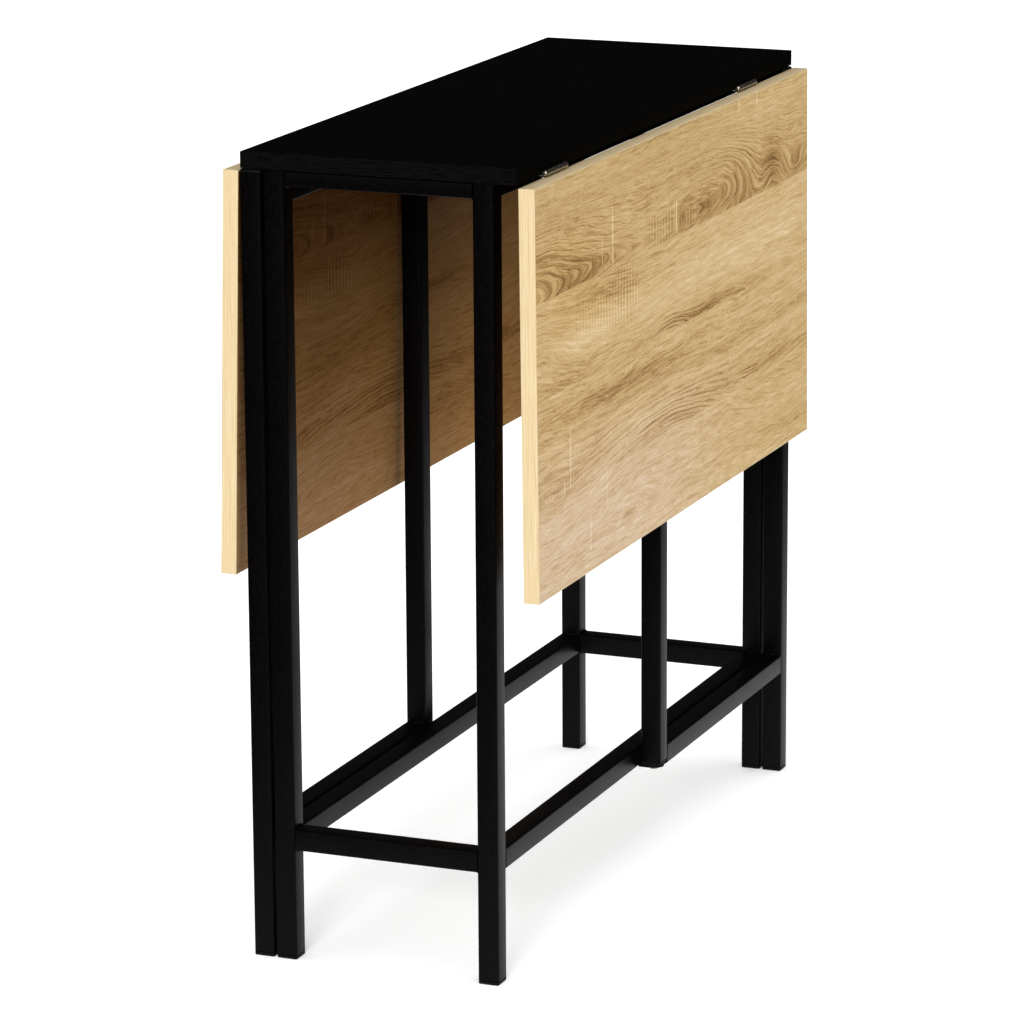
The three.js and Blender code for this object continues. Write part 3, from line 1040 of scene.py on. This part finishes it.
def add_rail_screws():
    """The screws up into the board: three through each long rail, one through each short one."""
    bm = bmesh.new()
    rng = random.Random(5)

    def add(rail, y_share):
        middle, size = middle_and_size(rail)
        underside = middle[2] - size[2] / 2
        y = middle[1] + y_share * size[1]
        centre = Vector((middle[0], y, underside - RAIL_SCREW_CROWN))
        add_screw(bm, centre, RAIL_SCREW_HEAD, rng.uniform(0, 1.5), RAIL_SCREW_CROWN)

    for side in SIDES:
        for share in RAIL_SCREW_SHARES:
            add(f"top_rail_{side}", share if side == RIGHT else -share)
    for place in (NEAR, FAR):
        add(f"top_rail_{place}", 0)
    finish_mesh("top_rail_screws", bm, [PLATED], "frame")


add_rail_screws()


# ---- floor, light and camera ----


FLOOR_HALF = 40  # metres
PAPER_GLOW = 0.26
LIT_MIDDLE = (300, 250)  # millimetres: the middle of the paper that glossy surfaces see
LIT_REACH = (400, 1700)  # how far from that middle it starts to fade, and is gone


def add_floor():
    """White paper that glows a little, so that the shadows on it stay pale."""
    bm = bmesh.new()
    bmesh.ops.create_grid(bm, x_segments=8, y_segments=8, size=FLOOR_HALF)
    mesh = bpy.data.meshes.new("floor")
    bm.to_mesh(mesh)
    bm.free()
    floor = bpy.data.objects.new("floor", mesh)
    bpy.context.scene.collection.objects.link(floor)
    g = Graph("floor_paper")
    x, y, z = g.position()
    cloud = g.noise(x * 0.001, y * 0.001, z, detail=2)
    rays = g.node("ShaderNodeLightPath").outputs
    g.set(
        Base_Color=g.mix(cloud, (0.93, 0.93, 0.93), (0.95, 0.95, 0.95)),
        Roughness=0.9,
        Specular_IOR_Level=0.0,
        Emission_Color=(1, 1, 1, 1),
        Emission_Strength=PAPER_GLOW,
    )
    # In glossy surfaces the paper seems to end not far from the table, as a studio's does.
    dx, dy = x - LIT_MIDDLE[0], y - LIT_MIDDLE[1]
    away = g.smooth(g.math("SQRT", dx * dx + dy * dy), *LIT_REACH)
    dark = g.node("ShaderNodeEmission")
    dark.inputs["Strength"].default_value = 0.0
    chosen = g.node("ShaderNodeMixShader")
    g.put(away * rays["Is Glossy Ray"], chosen.inputs[0])
    g.put(g.shader.outputs[0], chosen.inputs[1])
    g.put(dark.outputs[0], chosen.inputs[2])
    g.put(chosen.outputs[0], g.tree.nodes["Material Output"].inputs["Surface"])
    mesh.materials.append(g.material)


def add_sun(name, azimuth, elevation, strength, spread):
    """Even light from one direction, given like the camera's, softened by a wide disc."""
    light = bpy.data.lights.new(name, "SUN")
    light.energy = strength
    light.angle = math.radians(spread)
    sun = bpy.data.objects.new(name, light)
    sun.rotation_euler = (math.radians(90 - elevation), 0, math.radians(azimuth))
    bpy.context.scene.collection.objects.link(sun)


RISE = (-0.05, 1.0)  # the Z of a direction, from just under the horizon to straight up
ROOM_LIGHT = (0.78, 1.0)  # the room's strength over that rise
ROOM_IN_GLOSS = 0.04
ROOM_IN_VIEW = 1.0


def add_world():
    """A white room, brightest overhead, that glossy surfaces see as almost dark."""
    world = bpy.data.worlds.new("studio")
    world.use_nodes = True
    bpy.context.scene.world = world
    tree = world.node_tree
    background = tree.nodes["Background"]
    place = tree.nodes.new("ShaderNodeTexCoord")
    split = tree.nodes.new("ShaderNodeSeparateXYZ")
    tree.links.new(place.outputs["Generated"], split.inputs[0])
    rise = tree.nodes.new("ShaderNodeMapRange")
    for socket, value in zip(rise.inputs[1:5], (*RISE, *ROOM_LIGHT)):
        socket.default_value = value
    tree.links.new(split.outputs["Z"], rise.inputs[0])
    tree.links.new(rise.outputs[0], background.inputs["Strength"])
    background.inputs["Color"].default_value = (1, 1, 1, 1)
    rays = tree.nodes.new("ShaderNodeLightPath")
    shader = background.outputs[0]
    for ray, strength in (("Is Glossy Ray", ROOM_IN_GLOSS), ("Is Camera Ray", ROOM_IN_VIEW)):
        seen = tree.nodes.new("ShaderNodeBackground")
        seen.inputs["Color"].default_value = (1, 1, 1, 1)
        seen.inputs["Strength"].default_value = strength
        chosen = tree.nodes.new("ShaderNodeMixShader")
        tree.links.new(rays.outputs[ray], chosen.inputs[0])
        tree.links.new(shader, chosen.inputs[1])
        tree.links.new(seen.outputs[0], chosen.inputs[2])
        shader = chosen.outputs[0]
    tree.links.new(shader, tree.nodes["World Output"].inputs["Surface"])


CAMERA_AZIMUTH = math.radians(22.09)
CAMERA_ELEVATION = math.radians(13.94)
CAMERA_ROLL = math.radians(-0.33)
CAMERA_DISTANCE = 4.582
CAMERA_AIM = Vector((0, 0, 0.4))
CAMERA_SLIDE = (-0.0216, -0.0540)  # right and up from the line to the aim
CAMERA_LENS = 168.66


def add_camera():
    """Looks at the aim from the near right, with a little roll and a sideways slide."""
    azimuth, elevation, roll = CAMERA_AZIMUTH, CAMERA_ELEVATION, CAMERA_ROLL
    back = Vector(
        (
            math.sin(azimuth) * math.cos(elevation),
            -math.cos(azimuth) * math.cos(elevation),
            math.sin(elevation),
        )
    )
    level = (-back).cross(Vector((0, 0, 1))).normalized()
    above = level.cross(-back)
    right = level * math.cos(roll) + above * math.sin(roll)
    up = above * math.cos(roll) - level * math.sin(roll)
    place = CAMERA_AIM + back * CAMERA_DISTANCE + right * CAMERA_SLIDE[0] + up * CAMERA_SLIDE[1]
    data = bpy.data.cameras.new("camera")
    data.lens = CAMERA_LENS
    data.sensor_width = 36
    data.clip_end = 200
    camera = bpy.data.objects.new("camera", data)
    camera.matrix_world = Matrix((right, up, back)).transposed().to_4x4()
    camera.matrix_world.translation = place
    bpy.context.scene.collection.objects.link(camera)
    bpy.context.scene.camera = camera


add_floor()
add_world()
add_sun("overhead", 0, 90, 0.15, 12)
add_sun("front", 8, 18, 2.25, 20)
add_camera()
bpy.context.scene.view_settings.view_transform = "Standard"
